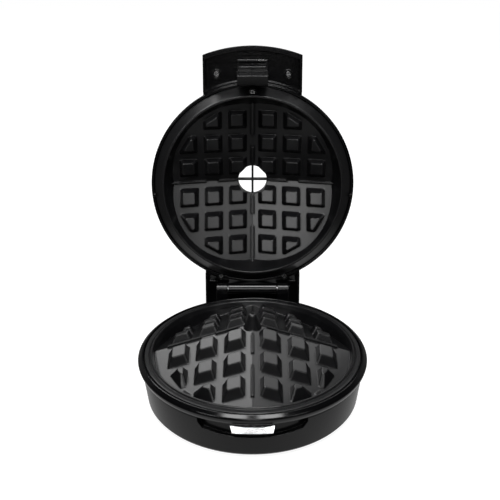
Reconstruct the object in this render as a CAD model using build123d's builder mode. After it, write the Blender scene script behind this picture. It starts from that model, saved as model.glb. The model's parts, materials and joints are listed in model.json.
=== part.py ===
from build123d import *
import os
from math import cos, hypot, radians, sin, sqrt

# Round waffle maker with pyramid plates, standing open. All lengths are in millimetres.
# The object is drawn about the axis of its lower plate. Heights are counted from the rim
# plane, the level of the base ring's shoulder. Every lid piece is drawn as it lies when the
# lid is shut, in the frame `lid`, which is that closed frame swung open about the hinge.

# ------------------------------------------------------------------ driving dimensions
rim_height = 45.5            # rim plane above the table
foot_height = 3.5            # rubber under the drum

ring_r = 108.0               # outside of the base ring and the widest round of the base
ring_bore_r = 102.6          # opening of the ring around the lower plate
ring_rise = 1.5              # ring shoulder above the rim plane
ring_depth = 7.0             # underside of the ring below the rim plane
ring_brow = 2.2              # widest line of the ring below the rim plane
ring_ledge_r = 98.0          # inner edge of the ledge that carries the plate flange

drum_top_r = 104.2           # base drum just under the ring
drum_foot_r = 100.4          # base drum at its bottom edge
drum_round = 2.3             # rounding of the drum's top edge
drum_bottom = foot_height - rim_height
wall = 2.6                   # plastic wall
gap = 0.3                    # seat clearance between assembled pieces

slope = 0.32                 # rise of the pyramid faces per millimetre of |x| + |y|
lower_apex = 27.7            # tip of the lower floor above the rim plane
waffle = 25.3                # distance between the two floors when shut
skin = 3.2                   # casting thickness of both plates
knob_rise = 8.1              # knob height above the floor
knob_first = 16.2            # first knob row from the plate axis
knob_pitch = 26.15           # from one knob to the next
knob_foot = 19.6             # knob width at the floor
knob_top = 12.4              # knob width at its top
knob_corner = 1.8            # rounding of the knob's four corners
knob_root = 1.2              # how far a knob is rooted in the floor
knob_edge = 0.8              # rounding of the knob's top edges
lower_knob_reach = 81.6      # circle that cuts the outer knobs off, lower plate
upper_knob_reach = 84.6      # the same on the upper plate

lower_floor_r = 91.0         # edge of the lower floor
lower_lip_r = 95.2           # middle of the raised lip around the lower floor
lower_lip_top = 2.4          # lip above the rim plane
lower_skirt = -18.0          # lower end of the plate's skirt
flange_top = 1.2             # plate flange above the rim plane
flange_under = -0.9          # underside of that flange

cone_foot_r = 8.6            # centre cone of the lower plate
cone_tip_r = 3.6
cone_rise = 11.0
cone_round = 2.8             # rounding of its tip

ridge_rib_width = 2.6        # ribs that mark the four cuts, lower plate
ridge_rib_rise = 1.9
ridge_ribs = ((13.0, 35.0), (48.4, 80.5))
valley_rib_width = 1.8       # the same ribs on the upper plate
valley_rib_rise = 4.0
valley_ribs = ((17.5, 37.0), (49.9, 87.5))

upper_lip_r = 94.2           # lip of the upper plate
upper_lip_z = 2.8            # its level when shut
upper_floor_r = 85.5         # top of the slanted cavity wall
upper_wall_top = 25.0
flange_boss_y = 98.1         # screw boss in the front of the sloped flange
flange_boss_r = 4.3
flange_boss_z = 5.0
upper_rim_r = 103.9          # outer edge of the sloped flange
upper_rim_z = 12.2
upper_rim_top = 15.1
pour_r = 15.7                # pour hole through the upper plate
pour_collar = 54.6           # top of the collar around the hole
pour_mouth_r = 26.4          # mouth of the funnel
funnel_lip_r = 32.5          # its lip on the lid
pour_mouth_top = 64.6

lid_r = 107.8                # outside of the lid
bezel_bore_r = 104.7         # opening of the lid's lower frame around the upper plate
bezel_bottom = 12.5          # lower edge of the lid when shut
bezel_ledge_r = 97.0
bezel_split = 18.0           # joint between the lid's lower frame and its shell
shell_shoulder = 25.0        # top of the shell's upright side
shell_skin = 2.4

tab_half = 51.5              # half width of the handle and of the hinge cover
handle_r = 145.8             # front of the handle
handle_rim = 4.8             # width of the handle's front rim
tab_wall = 2.5               # its side walls
tray_floor = 24.0            # floor of the recess under the handle
tray_skin = 2.5
handle_top = 36.0            # top of the handle and of the hinge cover
hinge_cover_y = 142.5        # back of the hinge cover
hinge_cover_lip = 19.4       # lower edge of its back wall

hinge_y = 114.0              # hinge axis behind the plate axis
hinge_z = 7.2                # hinge axis above the rim plane
open_angle = 97.7            # lid swing from shut to its open stop
pin_r = 2.5                  # hinge pin
pin_play = 0.05              # radial clearance of the turning barrel
knuckle_r = 6.2
barrel_half = 26.3
ear_inner = 26.9
ear_outer = 39.2
block_half = 41.0            # rear block of the base
block_back = 119.4
block_top = -7.4

recess_half = 46.4           # finger recess in the front of the base
recess_low_half = 41.9
recess_top = -13.0
recess_corner = -19.0
recess_bottom = -22.4
recess_depth = 5.6

catch_half = 18.6            # top edge of the chrome catch, a ramp that the latch slides down
catch_low_half = 16.8        # its lower edge
catch_bow = 0.7              # how far the lower edge is bowed
catch_tip = 109.2            # lower edge in front of the plate axis
catch_level = -13.3          # height of the lower edge
catch_run = 6.9              # length of the ramp
catch_lean = 36.2            # its slope
catch_thick = 1.6
catch_leg_half = 15.0        # the leg that carries the ramp in the recess
catch_root = 98.8
catch_foot = -19.2
catch_screw_x = 9.0
catch_screw_z = -15.2

latch_half = 15.5            # lid latch
latch_pivot_y = -130.5
latch_pivot_z = 20.0
latch_pin_r = 1.2
latch_barrel_r = 2.3
latch_play = 0.06
lug_inner = 4.8              # the two lugs under the handle that hold the latch pin
lug_outer = 6.2
blade_outer = -120.0
blade_inner = -114.6
nose_tip = -106.8
nose_low = -19.8
nose_play = 0.4              # the latch nose under the catch

heater_r = 62.0              # heating loop
heater_tube_r = 3.6
heater_gap_angle = 40.0      # open part of the loop, towards the hinge
post_r = 80.0                # circle of the four base screws
lug_r = 76.0                 # circle of the four upper plate screws
screw_r = 1.5
head_r = 3.2
head_height = 2.2

gland_level = -31.2          # cord entry in the rear block
gland_r = 6.0
gland_bore_r = 3.6
foot_stem_r = 2.6
foot_r = 7.5
front_feet = (48.0, -70.0)
rear_feet = (31.0, 106.0)

# ------------------------------------------------------------------ frames
front_reach = catch_tip
tilt = radians(open_angle - 90)
rear_reach = hinge_y + (hinge_y + funnel_lip_r) * sin(tilt) + (pour_mouth_top - hinge_z) * cos(tilt)
axis_y = (front_reach - rear_reach) / 2

base = Plane(origin=(0, axis_y, rim_height))


def swung(y, z):
    """Where a point of the shut lid goes when the lid is open."""
    turn = radians(open_angle)
    dy, dz = y - hinge_y, z - hinge_z
    return hinge_y + dy * cos(turn) + dz * sin(turn), hinge_z - dy * sin(turn) + dz * cos(turn)


lid_y, lid_z = swung(0, 0)
lid = Plane(
    origin=(0, axis_y + lid_y, rim_height + lid_z),
    x_dir=(1, 0, 0),
    z_dir=(0, sin(radians(open_angle)), cos(radians(open_angle))),
)


def section(frame):
    """Upright plane through the frame's axis: radius to the right, height up."""
    return Plane(origin=frame.origin, x_dir=frame.x_dir, z_dir=-frame.y_dir)


def side(frame, x=0.0):
    """Upright plane across the frame at x: depth to the right, height up."""
    return Plane(origin=frame.origin + frame.x_dir * x, x_dir=frame.y_dir, z_dir=frame.x_dir)


def spin_axis(frame):
    return Axis(frame.origin, frame.z_dir)


def finish(piece, name):
    piece.part.label = name
    export_step(piece.part, f"parts/{name}.step")


os.makedirs("parts", exist_ok=True)


# ------------------------------------------------------------------ shared shapes
def pyramid(frame, apex, foot):
    """Four-sided pyramid whose edges run along x and y, from its tip down to the level foot."""
    tip = 0.4
    with BuildPart() as body:
        with BuildSketch(frame.offset(foot)):
            reach = (apex - foot) / slope
            Rectangle(reach * sqrt(2), reach * sqrt(2), rotation=45)
        with BuildSketch(frame.offset(apex - slope * tip)):
            Rectangle(tip * sqrt(2), tip * sqrt(2), rotation=45)
        loft(ruled=True)
    return body.part


def puck(frame, radius, low, high):
    with BuildPart() as body:
        with BuildSketch(frame.offset(low)):
            Circle(radius)
        extrude(amount=high - low)
    return body.part


upper_apex = lower_apex + waffle
knob_draft = (knob_foot - knob_top) / 2 / knob_rise
knob_cells = ((0, 0), (1, 0), (2, 0), (0, 1), (1, 1), (0, 2), (2, 1), (1, 2))
square = ((-1, -1), (1, -1), (1, 1), (-1, 1))


def knob(facing, x, y, floor, fall_x, fall_y, reach):
    """One knob, square in plan, whose foot and top both lie parallel to the sloped floor."""
    uphill = facing.from_local_coords((-fall_x, -fall_y, 1)) - facing.origin
    out = Vector(x, y).normalized()
    with BuildPart() as lump:
        for lift in (-knob_root, knob_rise):
            half = knob_foot / 2 - knob_draft * lift
            limit = reach - knob_draft * lift
            corners = [Vector(x + a * half, y + b * half) for a, b in square]
            if hypot(x, y) + knob_foot / 2 > reach:
                corners = clipped(corners, out, limit)
            level = Plane(origin=facing.from_local_coords((x, y, floor + lift)), z_dir=uphill)
            spots = [
                facing.from_local_coords((c.X, c.Y, floor + lift + fall_x * (c.X - x) + fall_y * (c.Y - y)))
                for c in corners
            ]
            with BuildSketch(level) as outline:
                with BuildLine():
                    Polyline(*[level.to_local_coords(spot) for spot in spots], close=True)
                make_face()
                fillet(outline.vertices(), knob_corner)
        loft(ruled=True)
        crown = lump.faces().filter_by(lambda f: f.normal_at().dot(level.z_dir) > 0.9999)
        fillet(crown.edges(), knob_edge)
    return lump.part


def clipped(corners, out, limit):
    """The outline without what lies beyond the limit in the direction out."""
    kept = []
    for here, after in zip(corners, corners[1:] + corners[:1]):
        a, b = limit - here.dot(out), limit - after.dot(out)
        if a >= 0:
            kept.append(here)
        if a * b < 0:
            kept.append(here + (after - here) * (a / (a - b)))
    return kept


def knobs(frame, apex, up, reach):
    """The knobs of one plate. `up` is 1 where they stand on the floor and -1 where they hang."""
    facing = Plane(origin=frame.origin, x_dir=frame.x_dir, z_dir=frame.z_dir * up)
    lumps = []
    for i, j in knob_cells:
        for sx, sy in square:
            x = sx * (knob_first + i * knob_pitch)
            y = sy * (knob_first + j * knob_pitch)
            floor = up * (apex - slope * (abs(x) + abs(y)))
            lumps.append(knob(facing, x, y, floor, -up * slope * sx, -up * slope * sy, reach))
    return lumps


def ribs(frame, apex, spans, width, low, high):
    """Straight ribs along +-x and +-y that follow the pyramid's edges between two offsets."""
    bars = []
    for turn in range(4):
        along = frame.x_dir * cos(radians(90 * turn)) + frame.y_dir * sin(radians(90 * turn))
        across = Plane(origin=frame.origin, x_dir=along, z_dir=frame.z_dir)
        for near, far in spans:
            with BuildPart() as bar:
                with BuildSketch(section(across)):
                    with BuildLine():
                        Polyline(
                            (near, apex - slope * near + low),
                            (far, apex - slope * far + low),
                            (far, apex - slope * far + high),
                            (near, apex - slope * near + high),
                            close=True,
                        )
                    make_face()
                extrude(amount=width / 2, both=True)
            bars.append(bar.part)
    return bars


# ------------------------------------------------------------------ lower plate
with BuildPart() as lower_plate:
    with BuildSketch(section(base)):
        with BuildLine():
            Polyline(
                (lower_floor_r - 4, lower_skirt),
                (lower_floor_r + 3, lower_skirt),
                (lower_floor_r + 3, flange_under),
                (ring_bore_r - 0.8, flange_under),
                (ring_bore_r - 0.8, flange_top - 0.5),
                (ring_bore_r - 1.3, flange_top),
                (lower_lip_r + 2.3, flange_top),
                (lower_lip_r + 1.7, flange_top - 0.7),
                (lower_lip_r + 1.2, flange_top - 0.7),
                (lower_lip_r + 0.7, lower_lip_top - 0.4),
                (lower_lip_r + 0.2, lower_lip_top),
                (lower_lip_r - 0.5, lower_lip_top),
                (lower_lip_r - 0.9, lower_lip_top - 0.4),
                (lower_floor_r + 1.6, flange_under - 2),
                (lower_floor_r, lower_skirt + 4),
                (lower_floor_r - 4, lower_skirt + 4),
                close=True,
            )
        make_face()
    revolve(axis=spin_axis(base))
    add(pyramid(base, lower_apex, lower_skirt) & puck(base, lower_floor_r + 1.5, lower_skirt, lower_apex))
    add(knobs(base, lower_apex, 1, lower_knob_reach))
    add(ribs(base, lower_apex, ridge_ribs, ridge_rib_width, -1.5, ridge_rib_rise))
    with BuildSketch(section(base)) as cone_face:
        with BuildLine():
            tip_z = lower_apex + cone_rise
            foot_z = lower_apex - cone_foot_r * slope - 1.0
            Polyline((0, foot_z), (cone_foot_r, foot_z), (cone_tip_r, tip_z), (0, tip_z), close=True)
        make_face()
        fillet(cone_face.vertices().group_by(Axis.Y)[-1].sort_by(Axis.X)[-1], cone_round)
    revolve(axis=spin_axis(base))
    add(
        pyramid(base, lower_apex - skin, lower_skirt - 1)
        & puck(base, lower_floor_r - 0.4, lower_skirt - 1, lower_apex),
        mode=Mode.SUBTRACT,
    )
    boss_top = lower_apex - skin - slope * post_r * sqrt(2)
    with BuildSketch(base.offset(lower_skirt)):
        with PolarLocations(post_r, 4, start_angle=45):
            Circle(4.5)
    extrude(amount=boss_top + 3 - lower_skirt)
    with BuildSketch(base.offset(lower_skirt)):
        with PolarLocations(post_r, 4, start_angle=45):
            Circle(screw_r)
    extrude(amount=7.0, mode=Mode.SUBTRACT)
finish(lower_plate, "lower_plate")


# ------------------------------------------------------------------ upper plate
upper_outside = upper_apex + skin
hole_floor = upper_apex - slope * pour_r
lug_foot = upper_outside - slope * lug_r * sqrt(2)
reflector_seat = 42.0        # top of the lugs, where the reflector is screwed down


def upper_cavity():
    """The space inside the upper plate, from its lip to the pyramid floor."""
    with BuildPart() as space:
        with BuildSketch(section(lid)):
            with BuildLine():
                Polyline(
                    (0, upper_lip_z - 2),
                    (upper_lip_r - 0.8, upper_lip_z - 2),
                    (upper_lip_r - 0.8, upper_lip_z),
                    (upper_floor_r, upper_wall_top),
                    (upper_floor_r, upper_apex),
                    (0, upper_apex),
                    close=True,
                )
            make_face()
        revolve(axis=spin_axis(lid))
    return space.part & pyramid(lid, upper_apex, upper_lip_z - 3)


def upper_block():
    """The outside of the upper plate as a solid lump, before its cavity is taken out."""
    with BuildPart() as lump:
        with BuildSketch(section(lid)):
            with BuildLine():
                Polyline(
                    (0, upper_lip_z),
                    (upper_lip_r + 1.2, upper_lip_z),
                    (upper_lip_r + 1.8, upper_lip_z + 0.9),
                    (upper_floor_r + skin, upper_wall_top),
                    (upper_floor_r + skin, upper_outside),
                    (0, upper_outside),
                    close=True,
                )
            make_face()
        revolve(axis=spin_axis(lid))
    return lump.part & pyramid(lid, upper_outside, upper_lip_z - 3)


with BuildPart() as upper_plate:
    add(upper_block())
    add(upper_cavity(), mode=Mode.SUBTRACT)
    add(knobs(lid, upper_apex, -1, upper_knob_reach))
    add(ribs(lid, upper_apex, valley_ribs, valley_rib_width, -valley_rib_rise, 1.0))
    with BuildSketch(section(lid)):
        with BuildLine():
            Polyline(
                (upper_lip_r + 1.0, upper_lip_z + 0.5),
                (upper_lip_r + 1.8, upper_lip_z + 0.9),
                (upper_rim_r, upper_rim_z),
                (upper_rim_r, upper_rim_top),
                (upper_rim_r - 4.0, upper_rim_top),
                (upper_rim_r - 4.0, upper_rim_top - 1.6),
                (upper_lip_r - 0.2, upper_lip_z + 4.0),
                close=True,
            )
        make_face()
    revolve(axis=spin_axis(lid))
    with BuildSketch(lid.offset(hole_floor - 1)):
        Circle(pour_r + 2.4)
    extrude(amount=pour_collar - hole_floor + 1)
    with BuildSketch(lid.offset(lug_foot - 1)):
        with PolarLocations(lug_r, 4, start_angle=45):
            Circle(4.0)
    extrude(amount=reflector_seat - lug_foot + 1)
    with BuildSketch(lid.offset(flange_boss_z)):
        with Locations((0, -flange_boss_y)):
            Circle(flange_boss_r)
    extrude(amount=upper_rim_top - flange_boss_z)
    with BuildSketch(lid.offset(upper_lip_z)):
        Circle(pour_r)
    extrude(amount=upper_apex + 4, mode=Mode.SUBTRACT)
    with BuildSketch(lid.offset(reflector_seat)):
        with PolarLocations(lug_r, 4, start_angle=45):
            Circle(screw_r)
    extrude(amount=-12.0, mode=Mode.SUBTRACT)
    with BuildSketch(lid.offset(flange_boss_z)):
        with Locations((0, -flange_boss_y)):
            Circle(screw_r + gap)
    extrude(amount=upper_rim_top, mode=Mode.SUBTRACT)
    with BuildSketch(lid.offset(flange_boss_z)):
        with Locations((0, -flange_boss_y)):
            Circle(head_r + gap)
    extrude(amount=2.4, mode=Mode.SUBTRACT)
finish(upper_plate, "upper_plate")


# ------------------------------------------------------------------ fasteners
def screws(plane, spots, length, name):
    """Cross-head screws whose heads stand on the plane and whose shanks go down from it."""
    with BuildPart() as group:
        with BuildSketch(plane):
            with Locations(*spots):
                Circle(head_r)
        extrude(amount=head_height)
        rims = group.edges().filter_by(lambda e: plane.to_local_coords(e.center()).Z > head_height / 2)
        chamfer(rims.filter_by(GeomType.CIRCLE), 0.6)
        with BuildSketch(plane):
            with Locations(*spots):
                Circle(screw_r - 0.05)
        extrude(amount=-length)
        with BuildSketch(plane.offset(head_height)):
            with Locations(*spots):
                Rectangle(head_r * 1.2, 0.7)
                Rectangle(0.7, head_r * 1.2)
        extrude(amount=-1.0, mode=Mode.SUBTRACT)
    finish(group, name)


# ------------------------------------------------------------------ heating loops
def heater(frame, level, pin_end, name):
    """Tube loop open towards the hinge, with a cold pin at each end."""
    start = 90 + heater_gap_angle / 2
    angles = (radians(start), radians(start - heater_gap_angle))
    ends = [(heater_r * cos(a), heater_r * sin(a)) for a in angles]
    with BuildPart() as loop:
        with BuildSketch(section(frame)):
            with Locations((heater_r, level)):
                Circle(heater_tube_r)
        revolve(axis=spin_axis(frame), revolution_arc=360 - heater_gap_angle)
    turned = loop.part.rotate(spin_axis(frame), start)
    with BuildPart() as whole:
        add(turned)
        with BuildSketch(frame.offset(level)):
            with Locations(*ends):
                Circle(1.6)
        extrude(amount=pin_end - level)
    finish(whole, name)
    return ends


lower_heater_z = lower_apex - skin - slope * heater_r * sqrt(2) - heater_tube_r - 0.7
upper_heater_z = upper_outside - slope * heater_r + heater_tube_r + 0.55
lower_pin_end = lower_skirt - 11.0
upper_pin_end = 50.6
pins = heater(base, lower_heater_z, lower_pin_end, "lower_heater")
heater(lid, upper_heater_z, upper_pin_end, "upper_heater")


# ------------------------------------------------------------------ reflectors
def reflector(frame, profile, screw_ring, name, pin_spots):
    with BuildPart() as dish:
        with BuildSketch(section(frame)):
            with BuildLine():
                Polyline(*profile, close=True)
            make_face()
        revolve(axis=spin_axis(frame))
        with BuildSketch(frame.offset(-60)):
            with PolarLocations(screw_ring, 4, start_angle=45):
                Circle(screw_r + gap)
            with Locations(*pin_spots):
                Circle(heater_tube_r)
        extrude(amount=130, mode=Mode.SUBTRACT)
    finish(dish, name)


sheet = 0.8
dish_top = lower_skirt - 0.1
dish_floor = lower_skirt - 5.6
reflector(
    base,
    (
        (0, dish_floor),
        (70, dish_floor),
        (72, dish_top),
        (lower_floor_r + 2.6, dish_top),
        (lower_floor_r + 2.6, dish_top - sheet),
        (72.8, dish_top - sheet),
        (70.8, dish_floor - sheet),
        (0, dish_floor - sheet),
    ),
    post_r,
    "lower_reflector",
    pins,
)
canopy_foot = upper_outside - slope * 84.0 + 0.3
reflector(
    lid,
    (
        (22.0, 53.4),
        (56.0, 47.6),
        (68.0, reflector_seat + 0.1),
        (83.4, reflector_seat + 0.1),
        (84.0, canopy_foot),
        (84.8, canopy_foot),
        (84.2, reflector_seat + 0.9),
        (68.3, reflector_seat + 0.9),
        (56.2, 48.4),
        (22.0, 54.2),
    ),
    lug_r,
    "upper_reflector",
    pins,
)
lug_spots = [(lug_r * cos(radians(a)), lug_r * sin(radians(a))) for a in (45, 135, 225, 315)]
screws(lid.offset(reflector_seat + 0.95), lug_spots, 9.0, "upper_plate_screws")

# ------------------------------------------------------------------ base ring
with BuildPart() as base_ring:
    with BuildSketch(section(base)) as ring_face:
        with BuildLine():
            Polyline(
                (ring_ledge_r, -ring_depth),
                (ring_r - 1.8, -ring_depth),
                (ring_r - 0.7, -ring_depth + 2.4),
                (ring_r, -ring_brow),
                (ring_r - 0.9, -ring_brow + 1.6),
                (ring_bore_r + 1.8, ring_rise),
                (ring_bore_r + 0.5, ring_rise),
                (ring_bore_r, ring_rise - 0.5),
                (ring_bore_r, flange_under - 0.1),
                (ring_ledge_r, flange_under - 0.1),
                close=True,
            )
        make_face()
        fillet(ring_face.vertices().sort_by(Axis.X)[-1], 1.0)
    revolve(axis=spin_axis(base))
finish(base_ring, "base_ring")

# ------------------------------------------------------------------ base housing
drum_bore_foot = drum_foot_r - wall
pocket_r = drum_top_r - recess_depth
pocket_skin = 2.2


def recess_lump(grow, back_r):
    """The recess, or the pocket around it, outside the given radius."""
    front = section(base).offset(drum_top_r - 24)
    with BuildPart() as lump:
        with BuildSketch(front):
            with BuildLine():
                corner = (recess_low_half + grow, recess_corner - grow * 0.6)
                Polyline(
                    corner,
                    (recess_half + grow, recess_top),
                    (recess_half + grow, -ring_depth),
                    (-recess_half - grow, -ring_depth),
                    (-recess_half - grow, recess_top),
                    (-corner[0], corner[1]),
                )
                ThreePointArc((-corner[0], corner[1]), (0, recess_bottom - grow), corner)
            make_face()
        extrude(amount=40)
        with BuildSketch(base.offset(drum_bottom)):
            Circle(back_r)
        extrude(amount=-drum_bottom, mode=Mode.SUBTRACT)
    return lump.part


def drum_shape():
    with BuildPart() as lump:
        with BuildSketch(section(base)) as half_face:
            with BuildLine():
                Polyline(
                    (0, drum_bottom),
                    (drum_foot_r - 1.5, drum_bottom),
                    (drum_foot_r, drum_bottom + 2.0),
                    (drum_top_r, block_top - drum_round - 0.4),
                    (drum_top_r, block_top),
                    (0, block_top),
                    close=True,
                )
            make_face()
            fillet(half_face.vertices().group_by(Axis.Y)[-1].sort_by(Axis.X)[-1], drum_round)
        revolve(axis=spin_axis(base))
    return lump.part


rear = Plane(
    origin=base.from_local_coords((0, block_back, gland_level)),
    x_dir=-base.x_dir,
    z_dir=base.y_dir,
)

with BuildPart() as base_housing:
    add(drum_shape())
    with BuildSketch(base.offset(drum_bottom)):
        with Locations((0, (block_back + 80) / 2)):
            RectangleRounded(2 * block_half, block_back - 80, 4)
    extrude(amount=block_top - drum_bottom)
    with BuildSketch(section(base)):
        with BuildLine():
            Polyline(
                (0, drum_bottom),
                (drum_bore_foot, drum_bottom),
                (drum_bore_foot, drum_bottom + 2.7),
                (drum_bore_foot - 3, drum_bottom + 2.7),
                (drum_bore_foot - 3, drum_bottom + 4.7),
                (drum_bore_foot, drum_bottom + 5.7),
                (drum_top_r - wall, block_top - drum_round - 0.4),
                (drum_top_r - wall, block_top),
                (0, block_top),
                close=True,
            )
        make_face()
    revolve(axis=spin_axis(base), mode=Mode.SUBTRACT)
    with BuildSketch(base.offset(drum_bottom)):
        with Locations((0, (block_back - wall + 80) / 2)):
            Rectangle(2 * (block_half - wall), block_back - wall - 80)
    extrude(amount=block_top - wall - drum_bottom, mode=Mode.SUBTRACT)
    add(recess_lump(pocket_skin, pocket_r - pocket_skin) & drum_shape())
    add(recess_lump(0, pocket_r), mode=Mode.SUBTRACT)
    for x in (-ear_outer, ear_inner):
        with BuildSketch(side(base, x)):
            with Locations((hinge_y, hinge_z)):
                Circle(knuckle_r)
            with BuildLine():
                Polyline(
                    (hinge_y - knuckle_r - 0.6, block_top - 1),
                    (block_back, block_top - 1),
                    (hinge_y + knuckle_r - 0.2, hinge_z),
                    (hinge_y - knuckle_r + 0.2, hinge_z),
                    close=True,
                )
            make_face()
        extrude(amount=ear_outer - ear_inner)
    with BuildSketch(side(base, -ear_outer - 1)):
        with Locations((hinge_y, hinge_z)):
            Circle(pin_r)
    extrude(amount=2 * ear_outer + 2, mode=Mode.SUBTRACT)
    with BuildSketch(rear.offset(-wall - 1)):
        Circle(gland_r)
    extrude(amount=wall + 2, mode=Mode.SUBTRACT)
    with BuildSketch(section(base).offset(catch_root - 6)):
        with Locations((-catch_screw_x, catch_screw_z), (catch_screw_x, catch_screw_z)):
            Circle(screw_r)
    extrude(amount=8, mode=Mode.SUBTRACT)
finish(base_housing, "base_housing")

# ------------------------------------------------------------------ bottom cover, feet and base screws
cover_top = drum_bottom + 2.4
counterbore = 6.0            # depth of the screw heads under the base
post_top = dish_top - sheet - 0.1
post_spots = [(post_r * cos(radians(a)), post_r * sin(radians(a))) for a in (45, 135, 225, 315)]
feet_spots = [(sx * x, y) for x, y in (front_feet, rear_feet) for sx in (-1, 1)]
with BuildPart() as bottom_cover:
    with BuildSketch(base.offset(drum_bottom)):
        Circle(drum_bore_foot - gap)
        with Locations((0, (block_back - wall - gap + 80) / 2)):
            Rectangle(2 * (block_half - wall - gap), block_back - wall - gap - 80)
    extrude(amount=cover_top - drum_bottom)
    with BuildSketch(base.offset(cover_top)):
        with Locations(*post_spots):
            Circle(5.0)
    extrude(amount=post_top - cover_top)
    with BuildSketch(base.offset(drum_bottom)):
        with Locations(*post_spots):
            Circle(head_r + 0.6)
    extrude(amount=counterbore, mode=Mode.SUBTRACT)
    with BuildSketch(base.offset(drum_bottom)):
        with Locations(*post_spots):
            Circle(screw_r + gap)
        with Locations(*feet_spots):
            Circle(foot_stem_r)
        for ring in (26, 38, 50):
            with PolarLocations(ring, 16):
                SlotOverall(8, 2.6)
    extrude(amount=post_top - drum_bottom, mode=Mode.SUBTRACT)
finish(bottom_cover, "bottom_cover")

upright = Plane(origin=base.origin, x_dir=base.x_dir, z_dir=-base.z_dir)
screws(
    upright.offset(-drum_bottom - counterbore),
    [(x, -y) for x, y in post_spots],
    post_top - drum_bottom + 1.0,
    "base_screws",
)

with BuildPart() as rubber_feet:
    with BuildSketch(Plane.XY):
        with Locations(*[(x, y + axis_y) for x, y in feet_spots]):
            Circle(foot_r)
    extrude(amount=rim_height + drum_bottom)
    chamfer(rubber_feet.faces().sort_by(Axis.Z)[0:4].edges(), 0.8)
    with BuildSketch(base.offset(drum_bottom)):
        with Locations(*feet_spots):
            Circle(foot_stem_r - 0.1)
    extrude(amount=cover_top - drum_bottom + 0.2)
finish(rubber_feet, "rubber_feet")

# ------------------------------------------------------------------ latch catch
lean = radians(catch_lean)
ramp = Plane(
    origin=base.from_local_coords((0, -catch_tip, catch_level)),
    x_dir=base.x_dir,
    z_dir=base.z_dir * cos(lean) - base.y_dir * sin(lean),
)
ramp_y = -catch_tip + catch_run * cos(lean)
ramp_z = catch_level + catch_run * sin(lean)
with BuildPart() as latch_catch:
    with BuildSketch(ramp):
        with BuildLine():
            Polyline(
                (catch_low_half, catch_bow),
                (catch_half, catch_run),
                (-catch_half, catch_run),
                (-catch_low_half, catch_bow),
            )
            ThreePointArc((-catch_low_half, catch_bow), (0, 0), (catch_low_half, catch_bow))
        make_face()
    extrude(amount=-catch_thick)
    with BuildSketch(side(base, -catch_leg_half)):
        with BuildLine():
            Polyline(
                (ramp_y, ramp_z),
                (-catch_root, ramp_z),
                (-catch_root, catch_foot),
                (-catch_root - catch_thick, catch_foot),
                (-catch_root - catch_thick, ramp_z - catch_thick),
                (ramp_y + 0.4, ramp_z - catch_thick),
                (ramp_y - 0.4, ramp_z - 0.6),
                close=True,
            )
        make_face()
    extrude(amount=2 * catch_leg_half)
    with BuildSketch(section(base).offset(catch_root - 1)):
        with Locations((-catch_screw_x, catch_screw_z), (catch_screw_x, catch_screw_z)):
            Circle(screw_r)
    extrude(amount=catch_thick + 2, mode=Mode.SUBTRACT)
finish(latch_catch, "latch_catch")
screws(
    section(base).offset(catch_root + catch_thick + 0.05),
    [(-catch_screw_x, catch_screw_z), (catch_screw_x, catch_screw_z)],
    catch_thick + 2.2,
    "catch_screws",
)

# ------------------------------------------------------------------ hinge pin and cord gland
with BuildPart() as hinge_pin:
    with BuildSketch(side(base, -ear_outer + 0.2)):
        with Locations((hinge_y, hinge_z)):
            Circle(pin_r)
    extrude(amount=2 * ear_outer - 0.4)
    chamfer(hinge_pin.edges().filter_by(GeomType.CIRCLE), 0.4)
finish(hinge_pin, "hinge_pin")

with BuildPart() as cord_gland:
    with BuildSketch(rear.offset(-wall - 3.0)):
        Circle(gland_r - 0.1)
    extrude(amount=wall + 3.0)
    with BuildSketch(rear.offset(0.1)):
        Circle(gland_r + 2.0)
    extrude(amount=2.4)
    chamfer(cord_gland.faces().sort_by(Axis.Y)[-1].edges(), 0.8)
    with BuildSketch(rear.offset(-0.1)):
        Circle(gland_r - 0.1)
    extrude(amount=0.4)
    with BuildSketch(rear.offset(-wall - 4.0)):
        Circle(gland_bore_r)
    extrude(amount=wall + 8.0, mode=Mode.SUBTRACT)
finish(cord_gland, "cord_gland")

# ------------------------------------------------------------------ wiring of the base
thermostat_r = 8.0
thermostat_low = dish_floor - sheet - 8.6
with BuildPart() as thermostat:
    with BuildSketch(base.offset(dish_floor - sheet - 0.1)):
        SlotOverall(30, 13)
    extrude(amount=-1.0)
    with BuildSketch(base.offset(dish_floor - sheet - 1.0)):
        Circle(thermostat_r)
    extrude(amount=-7.6)
    with BuildSketch(base.offset(thermostat_low + 0.2)):
        with Locations((-4, 0), (4, 0)):
            Rectangle(0.8, 5)
    extrude(amount=-4.0)
finish(thermostat, "thermostat")

fuse_spot = (24.0, 24.0, -30.0)
fuse_half = 8.0
with BuildPart() as thermal_fuse:
    with BuildSketch(side(base, fuse_spot[0])):
        with Locations(fuse_spot[1:]):
            Circle(2.3)
    extrude(amount=fuse_half, both=True)
    with BuildSketch(side(base, fuse_spot[0])):
        with Locations(fuse_spot[1:]):
            Circle(0.7)
    extrude(amount=fuse_half + 5, both=True)
finish(thermal_fuse, "thermal_fuse")

block_low = cover_top + 0.1
block_high = block_low + 10.0
block_near = 82.0
block_far = 94.0
with BuildPart() as terminal_block:
    with BuildSketch(base.offset(block_low)):
        with Locations((0, (block_near + block_far) / 2)):
            RectangleRounded(30, block_far - block_near, 1.5)
    extrude(amount=block_high - block_low)
    with BuildSketch(section(base).offset(-block_near + 1)):
        with Locations(*[(x, block_low + 4.5) for x in (-9, 0, 9)]):
            Circle(1.8)
    extrude(amount=-(block_far - block_near) - 2, mode=Mode.SUBTRACT)
    with BuildSketch(base.offset(block_high)):
        with Locations(*[(x, y) for x in (-9, 0, 9) for y in (block_near + 3.2, block_far - 3.2)]):
            Circle(1.5)
    extrude(amount=-4.0, mode=Mode.SUBTRACT)
finish(terminal_block, "terminal_block")


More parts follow.
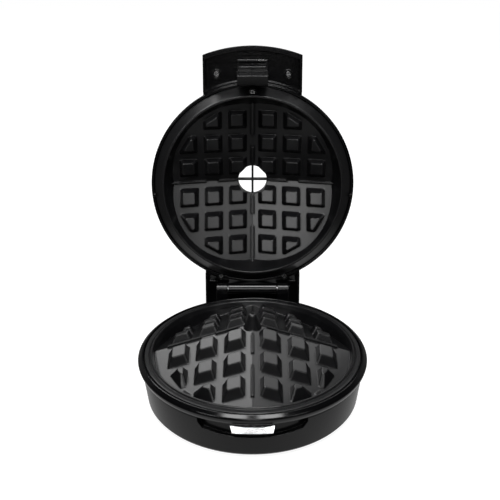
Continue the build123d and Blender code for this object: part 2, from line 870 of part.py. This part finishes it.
def wires(frame, routes, radius, name):
    """Each route is a list of points a wire runs through."""
    with BuildPart() as loom:
        for route in routes:
            points = [frame.from_local_coords(p) for p in route]
            with BuildLine():
                path = Spline(*points)
            with BuildSketch(Plane(origin=path @ 0, z_dir=path % 0)):
                Circle(radius)
            sweep(path=path)
    finish(loom, name)


wire_level = block_low + 4.5
tab_low = thermostat_low - 3.8
tab_spot = tab_low + 1.6
fuse_x, fuse_y, fuse_z = fuse_spot
lead = fuse_half + 5.3
fuse_left = (fuse_x - lead, fuse_y, fuse_z)
fuse_right = (fuse_x + lead, fuse_y, fuse_z)
left_pin = (*pins[0], lower_pin_end - 0.3)
right_pin = (*pins[1], lower_pin_end - 0.3)
left_drop = (*pins[0], lower_pin_end - 3.0)
right_drop = (*pins[1], lower_pin_end - 3.0)
wires(
    base,
    [
        [(-9, block_near + 1, wire_level), (-12, 74, wire_level), (-19, 64, -34.6), left_drop, left_pin],
        [(0, block_near + 1, wire_level), (0, 60, -35.2), (2, 25, -36.4), (4, 4.2, tab_spot)],
        [(-4, 4.2, tab_spot), (-3, 14, -36.0), (fuse_x - lead - 3, fuse_y, fuse_z), fuse_left],
        [fuse_right, (fuse_x + lead + 3, fuse_y + 2, fuse_z), (32, 52, -34.0), right_drop, right_pin],
    ],
    1.1,
    "base_wires",
)

# ------------------------------------------------------------------ lid frame
def handle_slab(half, front_r, inner_r, low, high):
    """Flat body with the handle's plan between two levels of the shut lid."""
    with BuildPart() as body:
        with BuildSketch(lid.offset(low)):
            Circle(front_r)
            with Locations((0, -front_r)):
                Rectangle(2 * half, 2 * front_r, mode=Mode.INTERSECT)
            Circle(inner_r, mode=Mode.SUBTRACT)
        extrude(amount=high - low)
    return body.part


def cover_slab(half, back_y, inner_r, low, high):
    """Flat body with the hinge cover's plan between two levels of the shut lid."""
    with BuildPart() as body:
        with BuildSketch(lid.offset(low)):
            with Locations((0, back_y / 2)):
                Rectangle(2 * half, back_y)
            Circle(inner_r, mode=Mode.SUBTRACT)
        extrude(amount=high - low)
    return body.part


def disc(spots, radius, low, high):
    with BuildPart() as group:
        with BuildSketch(lid.offset(low)):
            with Locations(*spots):
                Circle(radius)
        extrude(amount=high - low)
    return group.part


def across(outline, x_low, x_high):
    """Prism along x of an outline given as depth and height of the shut lid."""
    with BuildPart() as bar:
        with BuildSketch(side(lid, x_low)):
            with BuildLine():
                Polyline(*outline, close=True)
            make_face()
        extrude(amount=x_high - x_low)
    return bar.part


def rod(y, z, radius, x_low, x_high):
    with BuildPart() as bar:
        with BuildSketch(side(lid, x_low)):
            with Locations((y, z)):
                Circle(radius)
        extrude(amount=x_high - x_low)
    return bar.part


tray_r = lid_r + 0.3         # the trays begin just outside the shell's upright side
tray_in_r = tray_r + tab_wall
tray_top = 26.9
handle_screw_spots = [(-37.7, -116.4), (37.7, -116.4)]
hinge_screw_spots = [(-34.5, 101.7), (34.5, 101.7)]
flange_screw_spot = [(0, -flange_boss_y)]

with BuildPart() as lid_bezel:
    with BuildSketch(section(lid)):
        with BuildLine():
            Polyline(
                (bezel_bore_r, bezel_bottom + 0.5),
                (bezel_bore_r + 0.5, bezel_bottom),
                (lid_r - 0.8, bezel_bottom),
                (lid_r, bezel_bottom + 0.8),
                (lid_r, bezel_split),
                (bezel_ledge_r, bezel_split),
                (bezel_ledge_r, upper_rim_top + gap),
                (bezel_bore_r, upper_rim_top + gap),
                close=True,
            )
        make_face()
    revolve(axis=spin_axis(lid))
    add(handle_slab(tab_half, handle_r, tray_r, upper_rim_top + gap, tray_top))
    add(cover_slab(tab_half, hinge_cover_y, tray_r, upper_rim_top + gap, tray_top))
    add(handle_slab(tab_half, handle_r, tray_in_r, bezel_bottom, tray_top))
    add(cover_slab(tab_half, hinge_cover_y, tray_in_r, bezel_bottom, tray_top))
    add(handle_slab(tab_half, handle_r, lid_r - 0.6, upper_rim_top + gap, bezel_split))
    add(cover_slab(tab_half, hinge_cover_y, lid_r - 0.6, upper_rim_top + gap, bezel_split))
    tray_half = tab_half - tab_wall
    tray_front_r = handle_r - handle_rim
    tray_back = hinge_cover_y - tab_wall
    low = bezel_bottom - 1
    add(handle_slab(tray_half, tray_front_r, tray_in_r, low, tray_floor), mode=Mode.SUBTRACT)
    add(cover_slab(tray_half, tray_back, tray_in_r, low, tray_floor), mode=Mode.SUBTRACT)
    add(cover_slab(tray_half, hinge_cover_y + 1, tray_back - 6, low, hinge_cover_lip), mode=Mode.SUBTRACT)
    add(rod(hinge_y, hinge_z, knuckle_r, -barrel_half, barrel_half))
    web = [
        (hinge_y - knuckle_r, hinge_z),
        (hinge_y + 2.0, hinge_z),
        (hinge_y + 2.0, tray_floor + 0.5),
        (hinge_y - knuckle_r, tray_floor + 0.5),
    ]
    add(across(web, -barrel_half, barrel_half))
    for sign in (-1, 1):
        low, high = sorted((sign * (ear_outer + 0.8), sign * (tab_half - tab_wall - 2.0)))
        stop = [(106.2, 13.0), (107.8, 13.0), (107.8, tray_floor + 0.5), (106.2, tray_floor + 0.5)]
        add(across(stop, low, high))
        low, high = sorted((sign * lug_inner, sign * lug_outer))
        add(rod(latch_pivot_y, latch_pivot_z, 3.0, low, high))
        hanger = [
            (latch_pivot_y - 3.0, latch_pivot_z),
            (latch_pivot_y + 2.6, latch_pivot_z),
            (latch_pivot_y + 2.6, tray_floor + 0.5),
            (latch_pivot_y - 3.0, tray_floor + 0.5),
        ]
        add(across(hanger, low, high))
    add(disc(hinge_screw_spots, 4.2, 14.0, bezel_split))
    add(disc([(0, 0)], bezel_bore_r, bezel_bottom - 1, upper_rim_top + gap), mode=Mode.SUBTRACT)
    for sign in (-1, 1):
        low, high = sorted((sign * 103.0, sign * 106.2))
        add(across([(9.0, 9.8), (12.0, 9.8), (12.0, 11.0), (9.0, 11.0)], low, high))
        low, high = sorted((sign * 104.9, sign * 106.2))
        add(across([(9.0, 10.0), (12.0, 10.0), (12.0, 13.5), (9.0, 13.5)], low, high))
    add(disc(hinge_screw_spots, 4.4, bezel_split, tray_top + 1), mode=Mode.SUBTRACT)
    add(disc(handle_screw_spots, 4.8, 21.4, tray_floor + 0.5))
    add(disc(handle_screw_spots, head_r + 0.4, 20.0, tray_floor), mode=Mode.SUBTRACT)
    add(disc(handle_screw_spots, screw_r + gap, 20.0, tray_top), mode=Mode.SUBTRACT)
    add(disc(hinge_screw_spots, head_r + 0.3, 12.0, 16.6), mode=Mode.SUBTRACT)
    upper_spots = hinge_screw_spots + flange_screw_spot
    add(disc(upper_spots, screw_r + gap, 12.0, bezel_split + 1), mode=Mode.SUBTRACT)
    low = tray_floor + tray_skin
    add(handle_slab(tray_half, tray_front_r, tray_in_r, low, tray_top + 1), mode=Mode.SUBTRACT)
    add(cover_slab(tray_half, tray_back, tray_in_r, low, tray_top + 1), mode=Mode.SUBTRACT)
    add(rod(hinge_y, hinge_z, pin_r + pin_play, -barrel_half - 1, barrel_half + 1), mode=Mode.SUBTRACT)
    add(rod(latch_pivot_y, latch_pivot_z, latch_pin_r, -lug_outer - 1, lug_outer + 1), mode=Mode.SUBTRACT)
finish(lid_bezel, "lid_bezel")

# ------------------------------------------------------------------ lid shell
shell_foot = bezel_split + 0.1
cover_foot = tray_top + 0.1
shell_hole_r = 29.8
lens_spots = [(-13.0, -127.0), (13.0, -127.0)]
lens_r = 3.4


def dome(inset):
    """Solid of revolution inside the lid's outer surface."""
    with BuildPart() as body:
        with BuildSketch(section(lid)) as face:
            with BuildLine():
                Polyline(
                    (0, shell_foot),
                    (lid_r - inset, shell_foot),
                    (lid_r - inset, shell_shoulder - inset * 0.3),
                    (96 - inset * 0.9, 44 - inset * 0.75),
                    (60 - inset * 0.3, 60 - inset),
                    (34, pour_mouth_top - 1.6 - inset),
                    (0, pour_mouth_top - 1.6 - inset),
                    close=True,
                )
            make_face()
        revolve(axis=spin_axis(lid))
    return body.part


with BuildPart() as lid_shell:
    add(dome(0))
    add(handle_slab(tab_half, handle_r, 90, cover_foot, handle_top))
    add(cover_slab(tab_half, hinge_cover_y, 90, cover_foot, handle_top))
    add(dome(shell_skin), mode=Mode.SUBTRACT)
    under = handle_top - shell_skin
    add(handle_slab(tray_half, handle_r - tab_wall, lid_r - 10, cover_foot - 1, under), mode=Mode.SUBTRACT)
    add(cover_slab(tray_half, tray_back, lid_r - 10, cover_foot - 1, under), mode=Mode.SUBTRACT)
    add(disc([(0, 0)], shell_hole_r, shell_foot, pour_mouth_top), mode=Mode.SUBTRACT)
    add(disc(handle_screw_spots, 3.6, tray_floor + tray_skin + 0.1, handle_top - 1))
    add(disc(hinge_screw_spots, 4.0, shell_foot, handle_top - 1))
    add(disc(flange_screw_spot, 3.6, shell_foot, 38.6))
    add(disc(handle_screw_spots, screw_r, tray_floor, tray_floor + 9.5), mode=Mode.SUBTRACT)
    add(disc(hinge_screw_spots, screw_r, bezel_split, bezel_split + 9.0), mode=Mode.SUBTRACT)
    add(disc(flange_screw_spot, screw_r, bezel_split, bezel_split + 9.0), mode=Mode.SUBTRACT)
    add(disc(lens_spots, lens_r - 0.6, handle_top - 6, handle_top + 1), mode=Mode.SUBTRACT)
    add(disc(lens_spots, lens_r + 0.1, handle_top - 1.2, handle_top + 1), mode=Mode.SUBTRACT)
finish(lid_shell, "lid_shell")

hanging = Plane(origin=lid.origin, x_dir=lid.x_dir, z_dir=-lid.z_dir)
screws(hanging.offset(-tray_floor), [(x, -y) for x, y in handle_screw_spots], 9.0, "handle_screws")
screws(hanging.offset(-16.6), [(x, -y) for x, y in hinge_screw_spots], 10.0, "hinge_screws")
screws(hanging.offset(-flange_boss_z - 2.4), [(0, flange_boss_y)], 18.8, "flange_screw")

# ------------------------------------------------------------------ funnel and divider
with BuildPart() as pour_funnel:
    with BuildSketch(section(lid)):
        with BuildLine():
            Polyline(
                (pour_r, pour_collar + 0.1),
                (pour_r + 1.2, pour_collar + 0.6),
                (pour_mouth_r, pour_mouth_top - 1.0),
                (pour_mouth_r + 1.2, pour_mouth_top),
                (funnel_lip_r - 0.6, pour_mouth_top),
                (funnel_lip_r, pour_mouth_top - 0.6),
                (funnel_lip_r, pour_mouth_top - 1.5),
                (pour_mouth_r + 2.4, pour_mouth_top - 1.5),
                (pour_r + 4.2, pour_collar + 0.2),
                (pour_r + 4.2, pour_collar - 1.6),
                (pour_r + 2.8, pour_collar - 1.6),
                (pour_r + 2.8, pour_collar + 0.1),
                close=True,
            )
        make_face()
    revolve(axis=spin_axis(lid))
finish(pour_funnel, "pour_funnel")

divider_low = 48.5
divider_high = 54.5
divider_r = pour_r - 0.1
with BuildPart() as batter_divider:
    with BuildSketch(lid.offset(divider_low)):
        Rectangle(2.4, 2 * divider_r)
        Rectangle(2 * divider_r, 2.4)
        Circle(divider_r, mode=Mode.INTERSECT)
    extrude(amount=divider_high - divider_low)
finish(batter_divider, "batter_divider")

# ------------------------------------------------------------------ indicator lamps
for name, spot in zip(("power_lens", "ready_lens"), lens_spots):
    with BuildPart() as lens:
        with BuildSketch(lid.offset(handle_top - 1.1)):
            with Locations(spot):
                Circle(lens_r)
        extrude(amount=1.1)
        with BuildSketch(lid.offset(handle_top - 4.0)):
            with Locations(spot):
                Circle(lens_r - 0.7)
        extrude(amount=3.0)
    finish(lens, name)
lamp_low = 28.4
with BuildPart() as indicator_lamps:
    with BuildSketch(lid.offset(lamp_low)):
        with Locations(*lens_spots):
            Circle(2.0)
    extrude(amount=3.4)
finish(indicator_lamps, "indicator_lamps")

lid_pin_top = upper_pin_end + 0.1
lamp_wires = []
for sign in (-1, 1):
    lamp_wires.append(
        [
            (sign * pins[1][0], pins[1][1], lid_pin_top + 1.2),
            (sign * 48, 52, 49.0),
            (sign * 70, 22, 46.6),
            (sign * 74, -20, 45.6),
            (sign * 62, -60.5, 43.3),
            (sign * 45, -80, 37.0),
            (sign * 29, -95, 30.5),
            (sign * 18, -112, 30.0),
            (sign * 13, -124.8, 30.0),
        ]
    )
wires(lid, lamp_wires, 1.0, "lid_wires")

# ------------------------------------------------------------------ latch
with BuildPart() as latch_pin:
    add(rod(latch_pivot_y, latch_pivot_z, latch_pin_r, -latch_half, latch_half))
finish(latch_pin, "latch_pin")

spring_inner_r = 1.45
spring_outer_r = 2.1
with BuildPart() as latch_spring:
    add(rod(latch_pivot_y, latch_pivot_z, spring_outer_r, lug_outer + 0.4, latch_half - 1.9))
    add(rod(latch_pivot_y, latch_pivot_z, spring_inner_r, lug_outer, latch_half), mode=Mode.SUBTRACT)
finish(latch_spring, "latch_spring")

arm_top = 22.6
arm_under = 20.4
nose_top = catch_level - catch_thick * cos(lean) - nose_play
with BuildPart() as latch_hook:
    blade = [
        (blade_outer, arm_top),
        (blade_outer, nose_low + 2.8),
        (blade_outer + 4.0, nose_low - 0.7),
        (nose_tip, nose_top - 1.1),
        (nose_tip, nose_top),
        (blade_inner, nose_top),
        (blade_inner, arm_top),
    ]
    add(across(blade, -latch_half, latch_half))
    pivot_front = latch_pivot_y + 3.4
    arm_end = blade_outer + 1
    arm = [(pivot_front, arm_under), (arm_end, arm_under), (arm_end, arm_top), (pivot_front, arm_top)]
    add(across(arm, -latch_half, latch_half))
    bar_y = latch_pivot_y + 6.3
    bar = [(bar_y, 17.4), (bar_y + 1.6, 17.4), (bar_y + 1.6, arm_top), (bar_y, arm_top)]
    add(across(bar, -latch_half, latch_half))
    rib_y = latch_pivot_y + 3.5
    rib = [(rib_y, 18.2), (arm_end, 18.2), (arm_end, arm_top), (rib_y, arm_top)]
    add(across(rib, -0.7, 0.7))
    left_end = (-latch_half, -lug_outer - gap)
    middle = (-lug_inner + gap, lug_inner - gap)
    right_end = (latch_half - 1.5, latch_half)
    spans = (left_end, middle, right_end)
    for low, high in spans:
        add(rod(latch_pivot_y, latch_pivot_z, latch_barrel_r, low, high))
        reach = [
            (latch_pivot_y, latch_pivot_z + 0.3),
            (pivot_front + 1, latch_pivot_z + 0.3),
            (pivot_front + 1, arm_top - 0.4),
            (latch_pivot_y, latch_pivot_z + latch_barrel_r),
        ]
        add(across(reach, low, high))
    for low, high in ((-latch_half, -latch_half + 1.3), (latch_half - 1.3, latch_half)):
        cheek = [
            (latch_pivot_y, latch_pivot_z - latch_barrel_r),
            (blade_outer + 1, 15.0),
            (blade_outer + 1, arm_top),
            (latch_pivot_y, arm_top - 0.4),
        ]
        add(across(cheek, low, high))
    latch_bore = latch_pin_r + latch_play
    add(rod(latch_pivot_y, latch_pivot_z, latch_bore, -latch_half - 1, latch_half + 1), mode=Mode.SUBTRACT)
finish(latch_hook, "latch_hook")
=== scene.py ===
"""Waffle maker: looks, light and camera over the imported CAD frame. Metres, row frame."""

import json
from math import cos, pi, radians, sin

import bpy
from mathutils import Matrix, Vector


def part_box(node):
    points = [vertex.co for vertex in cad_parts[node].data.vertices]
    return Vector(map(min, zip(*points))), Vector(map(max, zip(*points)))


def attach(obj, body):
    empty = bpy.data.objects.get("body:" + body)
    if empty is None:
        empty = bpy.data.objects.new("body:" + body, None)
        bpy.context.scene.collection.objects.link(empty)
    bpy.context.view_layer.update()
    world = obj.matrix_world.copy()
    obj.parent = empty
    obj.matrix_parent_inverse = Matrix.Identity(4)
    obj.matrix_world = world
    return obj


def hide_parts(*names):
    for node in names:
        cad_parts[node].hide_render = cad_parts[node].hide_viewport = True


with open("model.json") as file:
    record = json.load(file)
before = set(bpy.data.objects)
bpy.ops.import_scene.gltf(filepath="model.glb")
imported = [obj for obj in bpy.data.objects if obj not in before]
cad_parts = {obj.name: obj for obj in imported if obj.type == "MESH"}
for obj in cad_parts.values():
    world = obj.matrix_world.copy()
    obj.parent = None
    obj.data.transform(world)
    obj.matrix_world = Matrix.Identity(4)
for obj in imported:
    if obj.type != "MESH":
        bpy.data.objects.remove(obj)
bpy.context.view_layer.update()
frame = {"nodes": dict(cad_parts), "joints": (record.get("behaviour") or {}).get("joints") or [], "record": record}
nodes = frame["nodes"]
record = frame["record"]

# ---------------------------------------------------------------- places from the CAD
joint_at = {joint["name"]: Vector(joint["pos_m"]) for joint in frame["joints"]}
slot_of = {part["node"]: part["material_slot"] for part in record["subparts"]}
body_of = {node: body for body, names in record["behaviour"]["bodies"].items() for node in names}
HINGE_BACK = 0.114           # hinge axis behind the middle of the lower plate
RIM_Z = 0.0455               # level of the ring around the lower plate
MIDDLE_Y = joint_at["lid_hinge"].y - HINGE_BACK


# ---------------------------------------------------------------- materials
CLOUDS = 35.0                # size of the slow changes of colour, larger is finer
GRAIN = 900.0                # size of the fine grain of roughness and relief
COAT_ROUGH = 0.12            # clear coat on the baked plates


def new_material(name):
    mat = bpy.data.materials.new(name)
    mat.use_nodes = True
    return mat, mat.node_tree


def link(nt, *pairs):
    for source, target in pairs:
        nt.links.new(source, target)


def noise(nt, scale, detail=2.0):
    coord = nt.nodes.new("ShaderNodeTexCoord")
    tex = nt.nodes.new("ShaderNodeTexNoise")
    tex.inputs["Scale"].default_value = scale
    tex.inputs["Detail"].default_value = detail
    link(nt, (coord.outputs["Object"], tex.inputs["Vector"]))
    return tex.outputs["Fac"]


def ramp(nt, source, low, high, start=0.3, end=0.7):
    """`low` where the source is at `start`, `high` where it is at `end`."""
    node = nt.nodes.new("ShaderNodeMapRange")
    node.inputs["From Min"].default_value = start
    node.inputs["From Max"].default_value = end
    node.inputs["To Min"].default_value = low
    node.inputs["To Max"].default_value = high
    link(nt, (source, node.inputs["Value"]))
    return node.outputs["Result"]


def tint(nt, source, dark, pale):
    node = nt.nodes.new("ShaderNodeValToRGB")
    for element, place, colour in zip(node.color_ramp.elements, (0.3, 0.7), (dark, pale)):
        element.position = place
        element.color = (*colour, 1)
    link(nt, (source, node.inputs["Fac"]))
    return node.outputs["Color"]


def relief(nt, source, depth, edge):
    """Normal of a fine grain, on a surface whose edges shine as if rounded by `edge`."""
    node = nt.nodes.new("ShaderNodeBump")
    node.inputs["Distance"].default_value = depth
    link(nt, (source, node.inputs["Height"]))
    if edge:
        soft = nt.nodes.new("ShaderNodeBevel")
        soft.samples = 6
        soft.inputs["Radius"].default_value = edge
        link(nt, (soft.outputs["Normal"], node.inputs["Normal"]))
    return node.outputs["Normal"]


def surface(
    name, tones, rough, grain, depth, metallic=0.0, spots=GRAIN, specular=0.5, coat=0.0, edge=0.0
):
    """Moulded, cast or plated surface: colour varies slowly, roughness and relief finely."""
    mat, nt = new_material(name)
    bsdf = next(n for n in nt.nodes if n.type == "BSDF_PRINCIPLED")
    fine = noise(nt, spots)
    normal = relief(nt, fine, depth, edge)
    bsdf.inputs["Metallic"].default_value = metallic
    bsdf.inputs["Specular IOR Level"].default_value = specular
    bsdf.inputs["Coat Weight"].default_value = coat
    bsdf.inputs["Coat Roughness"].default_value = COAT_ROUGH
    link(
        nt,
        (tint(nt, noise(nt, CLOUDS, 3.0), *tones), bsdf.inputs["Base Color"]),
        (ramp(nt, fine, rough - grain, rough + grain), bsdf.inputs["Roughness"]),
        (normal, bsdf.inputs["Normal"]),
        (normal, bsdf.inputs["Coat Normal"]),
    )
    return mat


def grey(dark, pale, cool=0.0):
    """Two tones of a grey that leans a little to blue."""
    return (dark, dark, dark + cool), (pale, pale, pale + cool)


BLACK = grey(0.0012, 0.0022, 0.0003)
CAST = grey(0.003, 0.005, 0.0005)
dark_steel = surface("dark_steel", grey(0.16, 0.24), 0.25, 0.05, 5e-6, metallic=1.0, edge=0.0003)
finish_of = {
    "nonstick_coating": surface(
        "nonstick_coating", CAST, 0.34, 0.05, 4e-6, specular=0.32, coat=0.3, edge=0.0016
    ),
    "housing_black": surface(
        "housing_black", BLACK, 0.22, 0.03, 1.5e-6, spots=700.0, specular=0.32, edge=0.0012
    ),
    "trim_black": surface(
        "trim_black", BLACK, 0.14, 0.03, 1.5e-6, spots=700.0, specular=0.35, edge=0.001
    ),
    "bare_steel": surface("bare_steel", grey(0.5, 0.6, 0.01), 0.30, 0.05, 5e-6, metallic=1.0),
    "bright_chrome": surface(
        "bright_chrome", grey(0.60, 0.72, 0.01), 0.13, 0.03, 1e-6, metallic=1.0, spots=120.0
    ),
    "foot_rubber": surface("foot_rubber", grey(0.012, 0.02), 0.75, 0.08, 2e-5),
    "wire_sleeve": surface("wire_sleeve", ((0.60, 0.59, 0.55), (0.74, 0.73, 0.68)), 0.8, 0.1, 5e-5),
    "ceramic_white": surface("ceramic_white", ((0.74, 0.73, 0.70), (0.80, 0.79, 0.76)), 0.35, 0.05, 2e-5),
    "lens_red": surface("lens_red", ((0.40, 0.015, 0.01), (0.5, 0.02, 0.015)), 0.12, 0.02, 3e-6),
    "lens_green": surface("lens_green", ((0.03, 0.26, 0.05), (0.04, 0.32, 0.06)), 0.12, 0.02, 3e-6),
    "lamp_glass": surface("lamp_glass", ((0.75, 0.72, 0.68), (0.85, 0.82, 0.78)), 0.1, 0.02, 3e-6),
}


def paint(obj, mat):
    obj.data.materials.clear()
    obj.data.materials.append(mat)


for name, obj in nodes.items():
    paint(obj, finish_of[slot_of[name]])
for name in ("handle_screws", "hinge_screws", "flange_screw", "latch_pin"):
    paint(nodes[name], dark_steel)

# ---------------------------------------------------------------- latch spring
WIRE = 0.00028               # radius of the spring's wire
TURNS = 6.5
STEPS, AROUND = 26, 10       # points along one turn and around the wire


def coil(name, low, high, centre):
    """Closed helical wire along x that fills the box of the solid it stands for."""
    ring = (high.z - low.z) / 2 - WIRE
    rise = high.x - low.x - 2 * WIRE
    count = round(TURNS * STEPS)
    verts = []
    for k in range(count + 1):
        turn = 2 * pi * k / STEPS
        for j in range(AROUND):
            side = 2 * pi * j / AROUND
            reach = ring + WIRE * cos(side)
            along = low.x + WIRE + rise * k / count + WIRE * sin(side)
            verts.append((along, centre.y + reach * cos(turn), centre.z + reach * sin(turn)))
    last = count * AROUND
    faces = [tuple(range(AROUND)), tuple(range(last + AROUND - 1, last - 1, -1))]
    for near in range(0, last, AROUND):
        far = near + AROUND
        for j in range(AROUND):
            after = (j + 1) % AROUND
            faces.append((near + j, far + j, far + after, near + after))
    mesh = bpy.data.meshes.new(name)
    mesh.from_pydata(verts, [], faces)
    mesh.polygons.foreach_set("use_smooth", [len(face) == 4 for face in faces])
    mesh.update()
    obj = bpy.data.objects.new(name, mesh)
    bpy.context.scene.collection.objects.link(obj)
    return obj


spring_low, spring_high = (Vector(corner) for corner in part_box("latch_spring"))
spring = coil("spring_coil", spring_low, spring_high, joint_at["latch_pivot"])
paint(spring, dark_steel)
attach(spring, body_of["latch_spring"])
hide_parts("latch_spring")


# ---------------------------------------------------------------- stage and light
def maths(nt, kind, first, second):
    """A maths node whose inputs are sockets or plain numbers."""
    node = nt.nodes.new("ShaderNodeMath")
    node.operation = kind
    for socket, value in zip(node.inputs, (first, second)):
        if isinstance(value, (int, float)):
            socket.default_value = value
        else:
            link(nt, (value, socket))
    return node.outputs["Value"]


def rays(nt):
    """Where the camera looks, and where shiny or clear surfaces look: two sockets, 0 or 1."""
    path = nt.nodes.new("ShaderNodeLightPath")
    mirrored = maths(nt, "MAXIMUM", path.outputs["Is Glossy Ray"], path.outputs["Is Transmission Ray"])
    return path.outputs["Is Camera Ray"], mirrored


FLOOR_NEAR = 0.9             # glow of the white floor near the object, where its shadow shows
FLOOR_SHADE = 0.28           # how much of the lamps' light the camera sees on it
FLOOR_BOUNCE = 0.15          # how much of it comes back onto the object
FLOOR_SHINE = 0.6            # what shiny surfaces see of the floor in front and behind
FLOOR_SHINE_ASIDE = 0.08     # and of the floor at both sides
FLOOR_FADE = (0.3, 0.9)      # metres from the object over which the glow rises to white
ASIDE_FADE = (0.06, 0.26)    # metres to the side over which the shine falls


def floor_material():
    """White floor that keeps a soft shadow and reads as white to the camera and in reflections."""
    mat, nt = new_material("floor_white")
    nt.nodes.clear()
    seen, mirrored = rays(nt)
    coord = nt.nodes.new("ShaderNodeTexCoord")
    spot = nt.nodes.new("ShaderNodeSeparateXYZ")
    away = nt.nodes.new("ShaderNodeVectorMath")
    away.operation = "LENGTH"
    link(
        nt,
        (coord.outputs["Object"], spot.inputs["Vector"]),
        (coord.outputs["Object"], away.inputs[0]),
    )
    plain = maths(nt, "SUBTRACT", 1.0, maths(nt, "MAXIMUM", seen, mirrored))
    level = maths(
        nt, "ADD", maths(nt, "MULTIPLY", seen, FLOOR_SHADE), maths(nt, "MULTIPLY", plain, FLOOR_BOUNCE)
    )
    white = ramp(nt, away.outputs["Value"], FLOOR_NEAR, 1.0, *FLOOR_FADE)
    aside = maths(nt, "ABSOLUTE", spot.outputs["X"], 0.0)
    shine = ramp(nt, aside, FLOOR_SHINE, FLOOR_SHINE_ASIDE, *ASIDE_FADE)
    glow = maths(nt, "ADD", maths(nt, "MULTIPLY", seen, white), maths(nt, "MULTIPLY", mirrored, shine))
    colour = nt.nodes.new("ShaderNodeCombineColor")
    diffuse = nt.nodes.new("ShaderNodeBsdfDiffuse")
    emission = nt.nodes.new("ShaderNodeEmission")
    both = nt.nodes.new("ShaderNodeAddShader")
    out = nt.nodes.new("ShaderNodeOutputMaterial")
    link(
        nt,
        (level, colour.inputs["Red"]),
        (level, colour.inputs["Green"]),
        (level, colour.inputs["Blue"]),
        (colour.outputs["Color"], diffuse.inputs["Color"]),
        (glow, emission.inputs["Strength"]),
        (diffuse.outputs["BSDF"], both.inputs[0]),
        (emission.outputs["Emission"], both.inputs[1]),
        (both.outputs["Shader"], out.inputs["Surface"]),
    )
    return mat


HALF_FLOOR = 4.0
corners = [(x * HALF_FLOOR, y * HALF_FLOOR, 0) for x, y in ((-1, -1), (1, -1), (1, 1), (-1, 1))]
floor = bpy.data.objects.new("floor", bpy.data.meshes.new("floor"))
floor.data.from_pydata(corners, [], [(0, 1, 2, 3)])
floor.data.materials.append(floor_material())
bpy.context.scene.collection.objects.link(floor)

AMBIENT = 0.03               # plain light of the room
BACK_SHINE = 0.15            # what shiny surfaces see of the white low behind the object
BACK_FADE = (0.1, 0.5)       # it sets in over these directions, from the side to the back
LOW_FADE = (0.6, 0.35)       # and over these, from high to low


def room():
    """Dim room that is white to the camera, and behind the object a little bright in reflections."""
    world = bpy.data.worlds.new("studio")
    world.use_nodes = True
    nt = world.node_tree
    nt.nodes.clear()
    seen, mirrored = rays(nt)
    coord = nt.nodes.new("ShaderNodeTexCoord")
    split = nt.nodes.new("ShaderNodeSeparateXYZ")
    link(nt, (coord.outputs["Generated"], split.inputs["Vector"]))
    back = ramp(nt, split.outputs["Y"], 0.0, 1.0, *BACK_FADE)
    low = ramp(nt, split.outputs["Z"], 0.0, 1.0, *LOW_FADE)
    rim = maths(nt, "MULTIPLY", maths(nt, "MULTIPLY", mirrored, maths(nt, "MULTIPLY", back, low)), BACK_SHINE)
    bright = maths(nt, "MULTIPLY", maths(nt, "MAXIMUM", seen, rim), 1.0 - AMBIENT)
    background = nt.nodes.new("ShaderNodeBackground")
    background.inputs["Color"].default_value = (1, 1, 1, 1)
    out = nt.nodes.new("ShaderNodeOutputWorld")
    link(
        nt,
        (maths(nt, "ADD", bright, AMBIENT), background.inputs["Strength"]),
        (background.outputs["Background"], out.inputs["Surface"]),
    )
    return world


bpy.context.scene.world = room()


def softbox(name, place, aim, size, radiance):
    """Square lamp of a given brightness, aimed at a point."""
    data = bpy.data.lights.new(name, "AREA")
    data.shape = "SQUARE"
    data.size = size
    data.energy = radiance * size * size * pi
    obj = bpy.data.objects.new(name, data)
    obj.location = place
    obj.rotation_euler = (Vector(aim) - Vector(place)).to_track_quat("-Z", "Y").to_euler()
    bpy.context.scene.collection.objects.link(obj)


LID = (0.0, 0.09, 0.13)
PLATE = (0.0, -0.06, 0.06)
CATCH = (0.0, -0.15, 0.03)
for lamp in (
    ("front", (0.0, -1.35, 0.80), LID, 0.40, 5.0),
    ("high_left", (-0.33, -0.75, 1.5), LID, 0.42, 12.0),
    ("high_right", (0.33, -0.75, 1.5), LID, 0.42, 12.0),
    ("overhead", (0.0, -0.22, 1.2), PLATE, 0.34, 16.0),
    ("catch_card", (0.0, -0.62, 1.2), CATCH, 0.30, 0.3),
    ("key_left", (-0.82, -0.95, 0.84), LID, 0.4, 5.5),
    ("fill_right", (0.82, -0.95, 0.84), LID, 0.4, 3.0),
    ("top_left", (-0.56, 0.68, 1.22), PLATE, 0.7, 5.6),
    ("top_right", (0.50, 0.72, 1.22), PLATE, 0.7, 2.6),
):
    softbox(*lamp)

# ---------------------------------------------------------------- camera
EYE_BACK = 0.61162           # from the middle of the lower plate's ring
EYE_UP = 0.36872
EYE_DOWN = 19.94             # degrees that it looks down
FRAME = 500                  # pixels across the square picture
FOCAL = 737.42               # focal length in such pixels
AIM_X, AIM_Y = 252.54, 204.14    # pixel that the lens points at
SENSOR = 36.0
cam_data = bpy.data.cameras.new("camera")
cam = bpy.data.objects.new("camera", cam_data)
bpy.context.scene.collection.objects.link(cam)
cam.location = (0.0, MIDDLE_Y - EYE_BACK, RIM_Z + EYE_UP)
cam.rotation_euler = (radians(90 - EYE_DOWN), 0, 0)
cam_data.sensor_width = SENSOR
cam_data.lens = FOCAL * SENSOR / FRAME
cam_data.shift_x = (FRAME / 2 - AIM_X) / FRAME
cam_data.shift_y = (AIM_Y - FRAME / 2) / FRAME
cam_data.clip_start = 0.01
bpy.context.scene.camera = cam
bpy.context.scene.view_settings.view_transform = "Standard"
